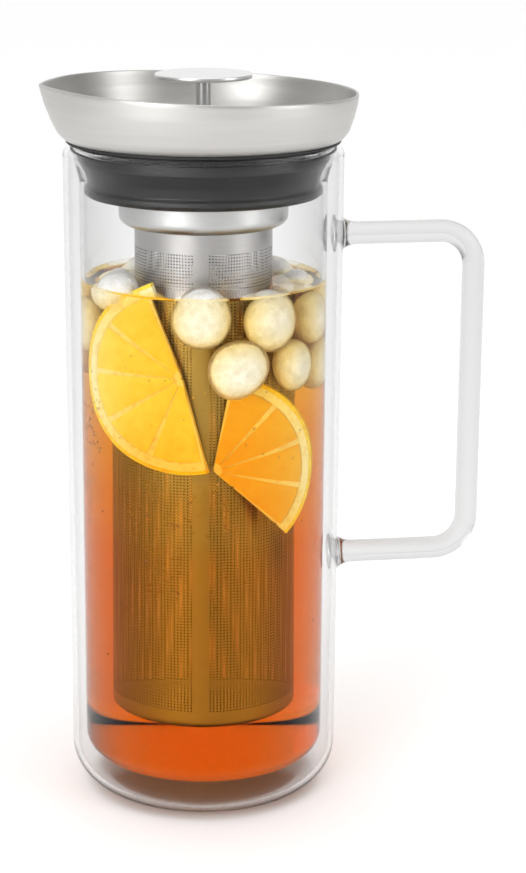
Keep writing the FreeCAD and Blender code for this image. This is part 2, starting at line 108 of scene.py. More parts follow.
FLOOR_RADIUS, FLOOR_DROP = 9.0, 0.0001
floor_material, floor_tree, floor_output = new_material("pale_floor")
principled(floor_tree, floor_output, Base_Color=(0.96, 0.96, 0.96, 1.0), Roughness=0.9,
           Specular_IOR_Level=0.2)
floor_mesh = bpy.data.meshes.new("floor")
floor_mesh.from_pydata([
    (FLOOR_RADIUS * math.cos(math.pi * k / 48), FLOOR_RADIUS * math.sin(math.pi * k / 48), -FLOOR_DROP)
    for k in range(96)], [], [range(96)])
floor_mesh.materials.append(floor_material)
floor = bpy.data.objects.new("floor", floor_mesh)
scene.collection.objects.link(floor)

world = bpy.data.worlds.new("studio")
world.use_nodes = True
scene.world = world
sky = world.node_tree.nodes["Background"]
sky_place = world.node_tree.nodes.new("ShaderNodeTexCoord")
sky_side = world.node_tree.nodes.new("ShaderNodeVectorMath")
sky_side.operation = "DOT_PRODUCT"
sky_side.inputs[1].default_value = (-0.3, 0.75, 0.5)
sky_ramp = world.node_tree.nodes.new("ShaderNodeMapRange")
for name, setting in (("From Min", -0.8), ("From Max", 0.45), ("To Min", 0.3), ("To Max", 1.12)):
    sky_ramp.inputs[name].default_value = setting
world.node_tree.links.new(sky_place.outputs["Generated"], sky_side.inputs[0])
world.node_tree.links.new(sky_side.outputs["Value"], sky_ramp.inputs["Value"])
sky_split = world.node_tree.nodes.new("ShaderNodeSeparateXYZ")
sky_across = world.node_tree.nodes.new("ShaderNodeMath")
sky_across.operation = "ABSOLUTE"
sky_flags = world.node_tree.nodes.new("ShaderNodeMapRange")
for name, setting in (("From Min", 0.5), ("From Max", 0.95), ("To Min", 1.0), ("To Max", 0.4)):
    sky_flags.inputs[name].default_value = setting
sky_total = world.node_tree.nodes.new("ShaderNodeMath")
sky_total.operation = "MULTIPLY"
world.node_tree.links.new(sky_place.outputs["Generated"], sky_split.inputs[0])
world.node_tree.links.new(sky_split.outputs["X"], sky_across.inputs[0])
world.node_tree.links.new(sky_across.outputs[0], sky_flags.inputs["Value"])
world.node_tree.links.new(sky_ramp.outputs["Result"], sky_total.inputs[0])
world.node_tree.links.new(sky_flags.outputs["Result"], sky_total.inputs[1])
world.node_tree.links.new(sky_total.outputs[0], sky.inputs["Strength"])
sky.inputs["Color"].default_value = (1.0, 1.0, 1.0, 1.0)

SOFT_BOXES = (
    # name, place in metres, width, height, watts
    ("left_soft_box", (-1.2, -1.2, 0.65), 0.9, 0.8, 15.0),
    ("right_soft_box", (1.4, -0.9, 0.6), 0.7, 0.8, 8.0),
)
for name, place, width, height, watts in SOFT_BOXES:
    lamp = bpy.data.lights.new(name, "AREA")
    lamp.shape = "RECTANGLE"
    lamp.size, lamp.size_y, lamp.energy = width, height, watts
    box = bpy.data.objects.new(name, lamp)
    box.location = place
    box.rotation_euler = (Vector((0.0, 0.0, 0.15)) - Vector(place)).to_track_quat("-Z", "Y").to_euler()
    scene.collection.objects.link(box)

ceiling = bpy.data.lights.new("ceiling_light", "SUN")
ceiling.energy, ceiling.angle = 0.5, math.radians(60.0)
ceiling_lamp = bpy.data.objects.new("ceiling_light", ceiling)
ceiling_lamp.rotation_euler = (math.radians(8.0), math.radians(-6.0), 0.0)
scene.collection.objects.link(ceiling_lamp)

# Outer glass wall.
# The outer shell is blown borosilicate tube, about 2 mm thick, with a heavy rounded foot
# and a shoulder that turns in at the top, where it is fused to the inner shell.
TURN_STEPS = 192
outer_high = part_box("outer_glass_wall")[1]
OUTER_RADIUS = outer_high.x / MM
JUG_HEIGHT = outer_high.z / MM


def rounded(corners, steps=7, closed=True):
    """An outline in mm whose corners (radius, height, rounding) are turned into arcs."""
    outline = []
    count = len(corners)
    for i, corner in enumerate(corners):
        at = Vector(corner[:2])
        ends = not closed and i in (0, count - 1)
        if len(corner) == 2 or ends:
            outline.append(tuple(at))
            continue
        before, after = Vector(corners[i - 1][:2]) - at, Vector(corners[(i + 1) % count][:2]) - at
        opening = before.angle(after)
        reach = corner[2] / math.tan(opening / 2)
        start, end = at + before.normalized() * reach, at + after.normalized() * reach
        halfway = (before.normalized() + after.normalized()).normalized()
        centre = at + halfway * corner[2] / math.sin(opening / 2)
        first, last = start - centre, end - centre
        sweep = first.angle_signed(last)
        for step in range(steps + 1):
            outline.append(tuple(centre + Matrix.Rotation(-sweep * step / steps, 2) @ first))
    return outline


def shade(mesh, sharp=35.0):
    """Smooth shading that keeps edges sharper than the given angle crisp."""
    grid = bmesh.new()
    grid.from_mesh(mesh)
    bmesh.ops.recalc_face_normals(grid, faces=grid.faces)
    for face in grid.faces:
        face.smooth = True
    for edge in grid.edges:
        edge.smooth = len(edge.link_faces) == 2 and edge.calc_face_angle(0.0) < math.radians(sharp)
    grid.to_mesh(mesh)
    grid.free()
    return mesh


def lathe(name, outline, closed=True, steps=TURN_STEPS):
    """A mesh turned about the jug's axis from an outline in mm. Ends on the axis are poles."""
    verts, rings = [], []
    for radius, height in outline:
        if radius < 1e-6:
            rings.append([len(verts)] * steps)
            verts.append((0.0, 0.0, height * MM))
            continue
        rings.append([len(verts) + k for k in range(steps)])
        for k in range(steps):
            angle = 2 * math.pi * k / steps
            verts.append((radius * MM * math.cos(angle), radius * MM * math.sin(angle), height * MM))
    faces = []
    pairs = zip(rings, rings[1:] + rings[:1]) if closed else zip(rings, rings[1:])
    for low, high in pairs:
        for k in range(steps):
            corners = [low[k], low[(k + 1) % steps], high[(k + 1) % steps], high[k]]
            corners = list(dict.fromkeys(corners))
            if len(corners) > 2:
                faces.append(corners)
    mesh = bpy.data.meshes.new(name)
    mesh.from_pydata(verts, [], faces)
    return shade(mesh)


def see_through(name, shadow_tint=(0.97, 0.97, 0.97, 1.0), **settings):
    """A refracting material that lets the lamps' light straight through to what is inside."""
    material, tree, output = new_material(name)
    shader = principled(tree, output, **settings)
    mix = tree.nodes.new("ShaderNodeMixShader")
    clear = tree.nodes.new("ShaderNodeBsdfTransparent")
    clear.inputs["Color"].default_value = shadow_tint
    path = tree.nodes.new("ShaderNodeLightPath")
    either = tree.nodes.new("ShaderNodeMath")
    either.operation = "MAXIMUM"
    tree.links.new(path.outputs["Is Shadow Ray"], either.inputs[0])
    tree.links.new(path.outputs["Is Diffuse Ray"], either.inputs[1])
    tree.links.new(either.outputs[0], mix.inputs["Fac"])
    tree.links.new(shader.outputs["BSDF"], mix.inputs[1])
    tree.links.new(clear.outputs["BSDF"], mix.inputs[2])
    tree.links.new(mix.outputs["Shader"], output.inputs["Surface"])
    return material


def tinted_glass(name, ior, middle, side, edge, shadow_tint=(0.97, 0.97, 0.97, 1.0)):
    """Clear glass that turns greyer towards its silhouette, where the sight line is longest."""
    material = see_through(name, shadow_tint, Roughness=0.0, IOR=ior, Transmission_Weight=1.0,
                           Specular_Tint=(0.12, 0.12, 0.12, 1.0))
    tree = material.node_tree
    shader = next(node for node in tree.nodes if node.type == "BSDF_PRINCIPLED")
    facing = tree.nodes.new("ShaderNodeLayerWeight")
    ramp = tree.nodes.new("ShaderNodeValToRGB")
    ramp.color_ramp.elements.new(0.7)
    for stop, grey in zip(ramp.color_ramp.elements, (middle, side, edge)):
        stop.color = (grey, grey, grey, 1.0)
    tree.links.new(facing.outputs["Facing"], ramp.inputs["Fac"])
    tree.links.new(ramp.outputs["Color"], shader.inputs["Base Color"])
    return material


# The walls bend light less than real glass does, so that they mirror the white room as faintly as
# the photograph shows.
WALL_IOR, ROD_IOR = 1.2, 1.47
glass = tinted_glass("clear_glass", WALL_IOR, 0.995, 0.84, 0.42)
FOOT_RADIUS, WALL, BASE_CORNER = 54.2, 2.0, 18.0
# Brown tint on the lamp light that passes the foot's glass, a painted shadow of the tea that darkens the
# floor under the jug.
BASE_SHADE = (0.5, 0.4, 0.34, 1.0)
SEAM_RADIUS = 50.6
outer_outline = rounded([
    (9.0, 0.0, 1.5), (FOOT_RADIUS, 0.0, BASE_CORNER), (OUTER_RADIUS, JUG_HEIGHT, 4.2),
    (SEAM_RADIUS, JUG_HEIGHT), (SEAM_RADIUS, JUG_HEIGHT - WALL),
    (OUTER_RADIUS - WALL, JUG_HEIGHT - WALL, 2.2),
    (FOOT_RADIUS - WALL, 2.6, BASE_CORNER - 2.4), (9.0, 2.6, 2.0), (4.0, 5.0), (4.0, 2.4)], steps=14)
outer_mesh = lathe("outer_glass", outer_outline)
add_mesh("outer_glass", outer_mesh, glass, "jug", "clear_glass", "outer_glass_wall", "base_seal_bead")
# The foot's glass is painted greyer than the walls as painted shade, standing for the tea's shadow on the
# table seen through it, and passes lamp light with the BASE_SHADE tint.
BASE_GLASS_TOP = 5.5
outer_mesh.materials.append(tinted_glass("base_glass_painted_shade", WALL_IOR, 0.9, 0.88, 0.75, BASE_SHADE))
for polygon in outer_mesh.polygons:
    if polygon.center.z < BASE_GLASS_TOP * MM:
        polygon.material_index = 1

# Inner glass wall.
# The inner vessel is thinner glass with a rounded bottom, hung from the rim, and it
# stands 14 mm clear of the table inside the outer shell.
BORE, INNER_WALL, INNER_LIFT = 47.2, 1.5, 14.0
MOUTH, FLARE_LOW, FLARE_HIGH = 49.6, JUG_HEIGHT - 13.0, JUG_HEIGHT - 6.0
inner_outline = rounded([
    (0.0, INNER_LIFT), (BORE + INNER_WALL, INNER_LIFT, 9.0), (BORE + INNER_WALL, FLARE_LOW, 8.0),
    (SEAM_RADIUS, FLARE_HIGH, 6.0), (SEAM_RADIUS, JUG_HEIGHT), (MOUTH, JUG_HEIGHT, 0.9),
    (MOUTH, FLARE_HIGH, 6.0), (BORE, FLARE_LOW, 8.0), (BORE, INNER_LIFT + 2.0, 7.4), (0.0, INNER_LIFT + 2.0)],
    steps=14, closed=False)
add_mesh("inner_glass", lathe("inner_glass", inner_outline, closed=False), glass, "jug", "clear_glass",
         "inner_glass_wall")

# Glass handle.
# One bent glass rod, 9 mm thick, softened and pressed on to the outer wall so that both
# ends spread into a flared foot.
ROD, REACH, BEND = 4.5, 109.5, 14.0
HANDLE_TOP, HANDLE_LOW = 227.7, 95.0


def handle_route():
    """Points along the rod's middle with the rod's radius at each, all in mm."""
    start = OUTER_RADIUS - 0.6
    route = []
    for step in range(9):
        away = 9.0 * step / 8
        route.append((start + away, HANDLE_TOP, ROD + 3.0 * (1 - step / 8) ** 3))
    for step in range(1, 7):
        route.append((start + 9.0 + (REACH - BEND - start - 9.0) * step / 6, HANDLE_TOP, ROD))
    for step in range(1, 17):
        turn = math.pi / 2 * step / 16
        route.append((REACH - BEND + BEND * math.sin(turn), HANDLE_TOP - BEND + BEND * math.cos(turn), ROD))
    middle = (HANDLE_TOP + HANDLE_LOW) / 2
    for step in range(1, 5):
        route.append((REACH, HANDLE_TOP - BEND + (middle - HANDLE_TOP + BEND) * step / 4, ROD))
    return route + [(x, 2 * middle - z, r) for x, z, r in reversed(route[:-1])]


def tube_mesh(name, route, sides=40):
    """A round rod of changing thickness along a route in the plane of the handle."""
    grid = bmesh.new()
    rings = []
    for i, (x, z, radius) in enumerate(route):
        here = Vector((x, 0.0, z))
        before = Vector((route[max(i - 1, 0)][0], 0.0, route[max(i - 1, 0)][1]))
        after = Vector((route[min(i + 1, len(route) - 1)][0], 0.0, route[min(i + 1, len(route) - 1)][1]))
        side = (after - before).normalized().cross(Vector((0.0, 1.0, 0.0)))
        ring = []
        for k in range(sides):
            angle = 2 * math.pi * k / sides
            point = here + (side * math.cos(angle) + Vector((0.0, 1.0, 0.0)) * math.sin(angle)) * radius
            ring.append(grid.verts.new(point * MM))
        rings.append(ring)
    for low, high in zip(rings, rings[1:]):
        for k in range(sides):
            grid.faces.new((low[k], low[(k + 1) % sides], high[(k + 1) % sides], high[k]))
    grid.faces.new(rings[0])
    grid.faces.new(list(reversed(rings[-1])))
    mesh = bpy.data.meshes.new(name)
    grid.to_mesh(mesh)
    grid.free()
    return shade(mesh, 60.0)


handle_glass = tinted_glass("handle_glass", ROD_IOR, 0.75, 0.6, 0.2)
add_mesh("handle_rod", tube_mesh("handle_rod", handle_route()), handle_glass, "jug", "clear_glass",
         "glass_handle")

# Pouring collar.
# A bowl drawn from 0.9 mm stainless sheet and brushed to a satin finish. Its rim slopes
# up to a pulled spout, and the edge is rolled smooth.
COLLAR_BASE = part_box("pouring_collar")[0].z / MM
COLLAR_PROFILE = (
    # height above the bowl's base, outer radius
    (0.0, 53.4), (0.5, 54.3), (1.4, 55.3), (3.4, 56.8), (8.2, 58.5), (13.8, 59.9), (22.0, 60.7))
SHEET = 0.9
NOSE, NOSE_HALF = 3.3, math.radians(24.0)
SPOUT_RIM, HANDLE_RIM = 21.8, 17.6
NECK_BORE = 38.5


def grained(tree, shader, group, **inputs):
    """Place a shared grain group in a material and wire what it puts out to the shader."""
    node = tree.nodes.new("ShaderNodeGroup")
    node.node_tree = group
    for name, setting in inputs.items():
        node.inputs[name.replace("_", " ")].default_value = setting
    tree.links.new(node.outputs["Colour"], shader.inputs["Base Color"])
    tree.links.new(node.outputs["Roughness"], shader.inputs["Roughness"])
    tree.links.new(node.outputs["Normal"], shader.inputs["Normal"])


def make_grain_group():
    """Fine brushing round the jug's axis, with soft cloudy wear over it."""
    group = bpy.data.node_groups.new("brushed_grain", "ShaderNodeTree")
    for name, kind in (("Tone", "NodeSocketColor"), ("Roughness", "NodeSocketFloat"),
                       ("Depth", "NodeSocketFloat"), ("Fineness", "NodeSocketFloat")):
        group.interface.new_socket(name, in_out="INPUT", socket_type=kind)
    for name, kind in (("Colour", "NodeSocketColor"), ("Roughness", "NodeSocketFloat"),
                       ("Normal", "NodeSocketVector")):
        group.interface.new_socket(name, in_out="OUTPUT", socket_type=kind)
    nodes, links = group.nodes, group.links
    given, out = nodes.new("NodeGroupInput"), nodes.new("NodeGroupOutput")
    place = nodes.new("ShaderNodeTexCoord")
    split = nodes.new("ShaderNodeSeparateXYZ")
    links.new(place.outputs["Object"], split.inputs[0])
    flat = nodes.new("ShaderNodeCombineXYZ")
    links.new(split.outputs["X"], flat.inputs["X"])
    links.new(split.outputs["Y"], flat.inputs["Y"])
    radius = nodes.new("ShaderNodeVectorMath")
    radius.operation = "LENGTH"
    links.new(flat.outputs[0], radius.inputs[0])
    angle = nodes.new("ShaderNodeMath")
    angle.operation = "ARCTAN2"
    links.new(split.outputs["Y"], angle.inputs[0])
    links.new(split.outputs["X"], angle.inputs[1])
    slow = nodes.new("ShaderNodeMath")
    slow.operation = "MULTIPLY"
    slow.inputs[1].default_value = 0.0012
    links.new(angle.outputs[0], slow.inputs[0])
    wound = nodes.new("ShaderNodeCombineXYZ")
    links.new(radius.outputs["Value"], wound.inputs["X"])
    links.new(slow.outputs[0], wound.inputs["Y"])
    links.new(split.outputs["Z"], wound.inputs["Z"])
    streaks = nodes.new("ShaderNodeTexNoise")
    streaks.inputs["Detail"].default_value = 3.0
    links.new(wound.outputs[0], streaks.inputs["Vector"])
    links.new(given.outputs["Fineness"], streaks.inputs["Scale"])
    clouds = nodes.new("ShaderNodeTexNoise")
    clouds.inputs["Scale"].default_value = 45.0
    links.new(place.outputs["Object"], clouds.inputs["Vector"])
    for source, low, high, target in ((streaks, 0.93, 1.05, "Colour"), (clouds, 0.85, 1.15, "Roughness")):
        spread = nodes.new("ShaderNodeMapRange")
        spread.inputs["To Min"].default_value = low
        spread.inputs["To Max"].default_value = high
        links.new(source.outputs["Fac"], spread.inputs["Value"])
        times = nodes.new("ShaderNodeVectorMath" if target == "Colour" else "ShaderNodeMath")
        if target == "Colour":
            times.operation = "SCALE"
            links.new(given.outputs["Tone"], times.inputs[0])
            links.new(spread.outputs[0], times.inputs["Scale"])
        else:
            times.operation = "MULTIPLY"
            links.new(given.outputs["Roughness"], times.inputs[0])
            links.new(spread.outputs[0], times.inputs[1])
        links.new(times.outputs[0], out.inputs[target])
    bump = nodes.new("ShaderNodeBump")
    bump.inputs["Distance"].default_value = 0.0001
    links.new(given.outputs["Depth"], bump.inputs["Strength"])
    links.new(streaks.outputs["Fac"], bump.inputs["Height"])
    links.new(bump.outputs["Normal"], out.inputs["Normal"])
    return group


brushed_grain = make_grain_group()


def steel(name, tone, roughness, depth, fineness):
    """Stainless steel brushed round the jug's axis."""
    material, tree, output = new_material(name)
    shader = principled(tree, output, Metallic=1.0)
    grained(tree, shader, brushed_grain, Tone=tone, Roughness=roughness, Depth=depth, Fineness=fineness)
    return material


def collar_radius(rise, angle, inset=0.0):
    """The bowl's radius at a rise above its base, in the direction of an angle."""
    steps = COLLAR_PROFILE
    low, high = next(((a, b) for a, b in zip(steps, steps[1:]) if rise <= b[0]), (steps[-2], steps[-1]))
    share = (rise - low[0]) / (high[0] - low[0])
    radius = low[1] + (high[1] - low[1]) * share
    off = abs(math.remainder(angle - math.pi, 2 * math.pi)) / NOSE_HALF
    pull = max(0.0, 1.0 - off) ** 1.6 * NOSE * (0.06 + 0.94 * (max(rise, 0.0) / SPOUT_RIM) ** 1.3)
    return radius - inset + pull


def rim_rise(angle, radius):
    """Height of the sloping rim above the bowl's base."""
    across = radius * math.cos(angle)
    share = (across + 64.1) / (60.7 + 64.1)
    return SPOUT_RIM + (HANDLE_RIM - SPOUT_RIM) * share


def collar_mesh():
    """Outer wall, rolled edge, inner wall, floor and neck hole as one closed sheet."""
    steps, wall_rows = 256, 22
    columns = []
    for k in range(steps):
        angle = 2 * math.pi * k / steps
        top = rim_rise(angle, collar_radius(SPOUT_RIM, angle))
        column = [(NECK_BORE, 0.0), (52.4, 0.0)]
        for i in range(wall_rows):
            rise = (top - 0.4) * (i / (wall_rows - 1)) ** 1.5
            column.append((collar_radius(rise, angle), rise))
        lip = collar_radius(top - 0.4, angle) - SHEET / 2
        for i in range(1, 6):
            turn = math.pi * i / 6
            column.append((lip + SHEET / 2 * math.cos(turn), top - 0.4 + SHEET / 2 * math.sin(turn)))
        for i in reversed(range(wall_rows)):
            rise = SHEET + 0.1 + (top - 0.4 - SHEET - 0.1) * (i / (wall_rows - 1)) ** 1.5
            column.append((collar_radius(rise, angle, SHEET), rise))
        column += [(51.6, SHEET), (NECK_BORE, SHEET)]
        columns.append([(r * math.cos(angle), r * math.sin(angle), z + COLLAR_BASE) for r, z in column])
    rows = len(columns[0])
    verts = [tuple(c * MM for c in point) for column in columns for point in column]
    faces = [(k * rows + i, ((k + 1) % steps) * rows + i, ((k + 1) % steps) * rows + (i + 1) % rows,
              k * rows + (i + 1) % rows) for k in range(steps) for i in range(rows)]
    mesh = bpy.data.meshes.new("pouring_bowl")
    mesh.from_pydata(verts, [], faces)
    return shade(mesh, 50.0)


satin = steel("satin_steel", (0.53, 0.522, 0.505, 1.0), 0.42, 0.25, 900.0)
add_mesh("pouring_bowl", collar_mesh(), satin, "lid", "satin_steel", "pouring_collar")

# Neck, stopper and rim gasket.
# A steel neck under the bowl carries a moulded charcoal silicone stopper with a soft lip
# and a flared top, and a thin black ring lies between the bowl and the glass rim.
LID_BASE = JUG_HEIGHT + 0.3
NECK_OUTER, NECK_BOTTOM = 39.3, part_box("neck_sleeve")[0].z / MM


def silicone(name, tone, roughness):
    """Moulded silicone with a fine matt skin."""
    material, tree, output = new_material(name)
    shader = principled(tree, output, Base_Color=tone, Roughness=roughness)
    place = tree.nodes.new("ShaderNodeTexCoord")
    skin = tree.nodes.new("ShaderNodeTexNoise")
    skin.inputs["Scale"].default_value = 1400.0
    tree.links.new(place.outputs["Object"], skin.inputs["Vector"])
    bump = tree.nodes.new("ShaderNodeBump")
    bump.inputs["Strength"].default_value = 0.15
    bump.inputs["Distance"].default_value = 0.0001
    tree.links.new(skin.outputs["Fac"], bump.inputs["Height"])
    tree.links.new(bump.outputs["Normal"], shader.inputs["Normal"])
    spread = tree.nodes.new("ShaderNodeMapRange")
    spread.inputs["To Min"].default_value = roughness - 0.08
    spread.inputs["To Max"].default_value = roughness + 0.08
    tree.links.new(skin.outputs["Fac"], spread.inputs["Value"])
    tree.links.new(spread.outputs[0], shader.inputs["Roughness"])
    return material


charcoal = silicone("charcoal_silicone", (0.012, 0.012, 0.012, 1.0), 0.55)
black = silicone("black_silicone", (0.004, 0.004, 0.004, 1.0), 0.6)
neck_outline = rounded([
    (NECK_BORE, NECK_BOTTOM, 0.3), (NECK_OUTER + 2.4, NECK_BOTTOM, 0.3),
    (NECK_OUTER + 2.4, NECK_BOTTOM + 0.8, 0.3),
    (NECK_OUTER, NECK_BOTTOM + 0.8), (NECK_OUTER, COLLAR_BASE), (NECK_BORE, COLLAR_BASE)])
add_mesh("neck", lathe("neck", neck_outline), satin, "lid", "satin_steel", "neck_sleeve")
seal_low = NECK_BOTTOM + 0.8
stopper_outline = rounded([
    (NECK_OUTER, seal_low, 0.5), (45.2, seal_low, 1.2), (BORE - 0.3, seal_low + 1.6, 0.9),
    (BORE - 0.5, seal_low + 3.2, 0.8), (45.6, seal_low + 4.4, 1.0), (46.5, FLARE_LOW + 2.0, 6.0),
    (MOUTH - 0.6, FLARE_HIGH, 1.2), (MOUTH - 0.6, LID_BASE, 0.3), (NECK_OUTER, LID_BASE)])
add_mesh("stopper", lathe("stopper", stopper_outline), charcoal, "lid", "grey_silicone", "stopper_seal")
gasket_outline = rounded([
    (NECK_OUTER, LID_BASE), (MOUTH - 0.3, LID_BASE, 0.3), (53.7, LID_BASE + 0.9, 0.4),
    (53.7, COLLAR_BASE, 0.2),
    (NECK_OUTER, COLLAR_BASE)])
add_mesh("gasket", lathe("gasket", gasket_outline), black, "lid", "black_silicone", "rim_gasket")

# Infuser cup.
# A drawn steel cup with a flange that rests on the floor of the bowl. Curved slots in the
# flange let the tea through, and the tube is welded into the cup's bottom.
CUP_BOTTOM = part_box("infuser_cup")[0].z / MM
TUBE = 27.2
bright = steel("bright_steel", (0.5, 0.5, 0.495, 1.0), 0.34, 0.15, 1100.0)
sheet_steel = steel("punched_steel", (0.37, 0.36, 0.35, 1.0), 0.36, 0.15, 1100.0)
# The back faces of the sheet are painted near black as painted shade inside the tube, so its holes read dark
# from outside.
sheet_nodes, sheet_links = sheet_steel.node_tree.nodes, sheet_steel.node_tree.links
inner_side = sheet_nodes.new("ShaderNodeNewGeometry")
painted_inner_shade = sheet_nodes.new("ShaderNodeMixRGB")
painted_inner_shade.inputs["Color2"].default_value = (0.03, 0.03, 0.03, 1.0)
sheet_links.new(inner_side.outputs["Backfacing"], painted_inner_shade.inputs["Fac"])
sheet_links.new(sheet_nodes["Group"].outputs["Colour"], painted_inner_shade.inputs["Color1"])
sheet_links.new(painted_inner_shade.outputs["Color"], sheet_nodes["Principled BSDF"].inputs["Base Color"])
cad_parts["infuser_cup"].data.materials[0] = bright

# Infuser tube and end cap.
# Thin steel sheet punched with rows of fine square-cornered holes, rolled into a tube and
# welded along a plain seam. A plain cap with a rounded edge closes the bottom.
HOLE_COLUMNS, SEAM_WIDTH = 136, 5.5
CAP_LOW = 33.4
TUBE_LOW, TUBE_HIGH = CAP_LOW + 6.0, CUP_BOTTOM + 3.0
FIRST_ROW, LAST_ROW, ROW_PITCH = 40.2, 226.8, 1.22
SEAM_TURN = math.radians(-90.0 - 10.0)
HOLE_SHARE = 0.45


def punched_tube():
    """The tube as one sheet of quads with a square hole in every cell of the grid."""
    seam = SEAM_WIDTH / TUBE
    step = (2 * math.pi - seam) / HOLE_COLUMNS
    angles = [seam / 2]
    for column in range(HOLE_COLUMNS):
        low = seam / 2 + column * step
        angles += [low + step * (1 - HOLE_SHARE) / 2, low + step * (1 + HOLE_SHARE) / 2]
    angles += [2 * math.pi - seam / 2 + seam * i / 6 for i in range(6)]
    row_count = int((LAST_ROW - FIRST_ROW) / ROW_PITCH)
    heights = [TUBE_LOW]
    for row in range(row_count):
        low = FIRST_ROW + row * ROW_PITCH
        heights += [low + ROW_PITCH * (1 - HOLE_SHARE) / 2, low + ROW_PITCH * (1 + HOLE_SHARE) / 2]
    heights.append(TUBE_HIGH)
    verts = [(TUBE * MM * math.cos(a + SEAM_TURN), TUBE * MM * math.sin(a + SEAM_TURN), z * MM)
             for z in heights for a in angles]
    around = len(angles)
    faces = []
    for i in range(len(heights) - 1):
        for k in range(around):
            hole = i % 2 == 1 and k % 2 == 1 and k < 2 * HOLE_COLUMNS
            if not hole:
                faces.append((i * around + k, i * around + (k + 1) % around,
                              (i + 1) * around + (k + 1) % around, (i + 1) * around + k))
    mesh = bpy.data.meshes.new("punched_tube")
    mesh.from_pydata(verts, [], faces)
    for polygon in mesh.polygons:
        polygon.use_smooth = True
    return mesh


add_mesh("punched_tube", punched_tube(), sheet_steel, "infuser", "bright_steel", "infuser_tube")
cap_outline = rounded([
    (0.0, CAP_LOW), (TUBE, CAP_LOW, 3.0), (TUBE, TUBE_LOW), (TUBE - 0.6, TUBE_LOW),
    (TUBE - 0.6, CAP_LOW + 0.8, 2.4), (0.0, CAP_LOW + 0.8)], closed=False)
add_mesh("end_cap", lathe("end_cap", cap_outline, closed=False), sheet_steel, "infuser", "bright_steel",
         "infuser_end_cap")

# Cover, stem and knob.
# A flat cover closes the infuser's mouth. A thin turned stem is screwed to it from below
# and carries a flat satin disc to lift it by.
COVER_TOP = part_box("cover_plate")[1].z / MM
KNOB_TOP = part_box("knob_disc")[1].z / MM
KNOB, KNOB_SHEET, STEM = 19.0, 1.8, 2.85
for name, material in (("cover_plate", satin), ("cover_seal_ring", black), ("stem_screw", bright)):
    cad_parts[name].data.materials[0] = material
stem_outline = rounded([
    (0.0, COVER_TOP), (STEM + 1.4, COVER_TOP), (STEM + 1.4, COVER_TOP + 0.8, 0.5),
    (STEM, COVER_TOP + 1.2, 0.4),
    (STEM, KNOB_TOP - KNOB_SHEET), (0.0, KNOB_TOP - KNOB_SHEET)], closed=False)
add_mesh("stem", lathe("stem", stem_outline, closed=False, steps=64), bright, "cover", "bright_steel",
         "knob_stem")
knob_steel = steel("knob_steel", (0.7, 0.7, 0.695, 1.0), 0.34, 0.2, 700.0)
knob_outline = rounded([
    (0.0, KNOB_TOP - KNOB_SHEET), (KNOB, KNOB_TOP - KNOB_SHEET, 0.7), (KNOB, KNOB_TOP, 0.5), (0.0, KNOB_TOP)],
    closed=False)
add_mesh("knob", lathe("knob", knob_outline, closed=False, steps=128), knob_steel, "cover", "satin_steel",
         "knob_disc")

# Iced tea.
# The jug is filled with clear amber tea up to below the infuser's cup. It wets the inner
# glass, so its skin lies just inside the glass, and it climbs a little at the wall.
TEA_LEVEL = 211.0
WETTED = 0.35
tea = see_through("iced_tea", shadow_tint=(1.0, 1.0, 1.0, 1.0), Base_Color=(1.0, 1.0, 1.0, 1.0),
                  Roughness=0.0, IOR=1.33, Transmission_Weight=1.0, Specular_Tint=(0.12, 0.12, 0.12, 1.0))
absorb = tea.node_tree.nodes.new("ShaderNodeVolumeAbsorption")
absorb.inputs["Color"].default_value = (0.98, 0.78, 0.1, 1.0)
absorb.inputs["Density"].default_value = 60.0
tea_output = tea.node_tree.nodes["Material Output"]
tea.node_tree.links.new(absorb.outputs["Volume"], tea_output.inputs["Volume"])
tea_outline = rounded([
    (0.0, INNER_LIFT + 2.0 - WETTED), (BORE + WETTED, INNER_LIFT + 2.0 - WETTED, 7.6),
    (BORE + WETTED, TEA_LEVEL + 1.6, 0.3), (BORE - 0.3, TEA_LEVEL + 1.3), (BORE - 1.2, TEA_LEVEL + 0.4),
    (BORE - 2.6, TEA_LEVEL), (0.0, TEA_LEVEL)], steps=14, closed=False)
add_mesh("iced_tea", lathe("iced_tea", tea_outline, closed=False), tea, "jug", "iced_tea")

# Strong tea.
# Melting ice has thinned the drink at the top, so the tea deepens downwards in three steps.
# Each is an unseen boundary that holds a third of the extra colour of the stronger tea.
STRONG_LEVELS = (156.0, 132.0, 108.0)
strong_tea, strong_tree, strong_output = new_material("strong_tea")
passing = strong_tree.nodes.new("ShaderNodeBsdfTransparent")
strong_tree.links.new(passing.outputs["BSDF"], strong_output.inputs["Surface"])
deeper = strong_tree.nodes.new("ShaderNodeVolumeAbsorption")
deeper.inputs["Color"].default_value = (0.97, 0.78, 0.25, 1.0)
deeper.inputs["Density"].default_value = 17.0
strong_tree.links.new(deeper.outputs["Volume"], strong_output.inputs["Volume"])
for number, level in enumerate(STRONG_LEVELS, start=1):
    away = 0.1 * number
    floor_height = INNER_LIFT + 2.0 + away
    strong_outline = rounded([
        (0.0, floor_height), (BORE - away, floor_height, 7.4), (BORE - away, level), (0.0, level)],
        steps=14, closed=False)
    name = f"strong_tea_{number}"
    add_mesh(name, lathe(name, strong_outline, closed=False), strong_tea, "jug", "iced_tea")

